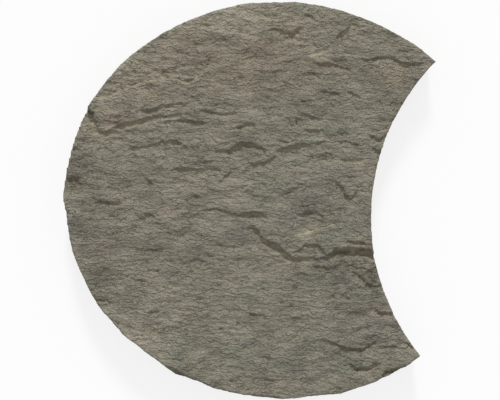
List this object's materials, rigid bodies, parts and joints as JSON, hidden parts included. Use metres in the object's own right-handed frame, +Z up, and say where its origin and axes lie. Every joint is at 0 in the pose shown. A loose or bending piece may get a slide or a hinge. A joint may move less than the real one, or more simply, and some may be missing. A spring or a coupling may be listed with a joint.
{
  "type": "garden stepping stone",
  "caption": "Crescent stepping stone: a flat oval slab of riven stone with a round bite out of one end, so that a round stone can nest against it.",
  "frame": {"origin": "on the ground under the middle of the slab's outline box, with the slab lying flat, riven face up", "axes": "+X from the middle of the slab towards the middle of the bite, +Y along the longer side of the outline box, +Z up out of the riven face"},
  "size_m": [0.415, 0.4505, 0.035],
  "materials": {
    "sandstone": "riven face with dressed edges, dry and matt, grey-olive with brown iron stains"
  },
  "bodies": {
    "root": {"stepping_stone": "sandstone"}
  },
  "joints": []
}
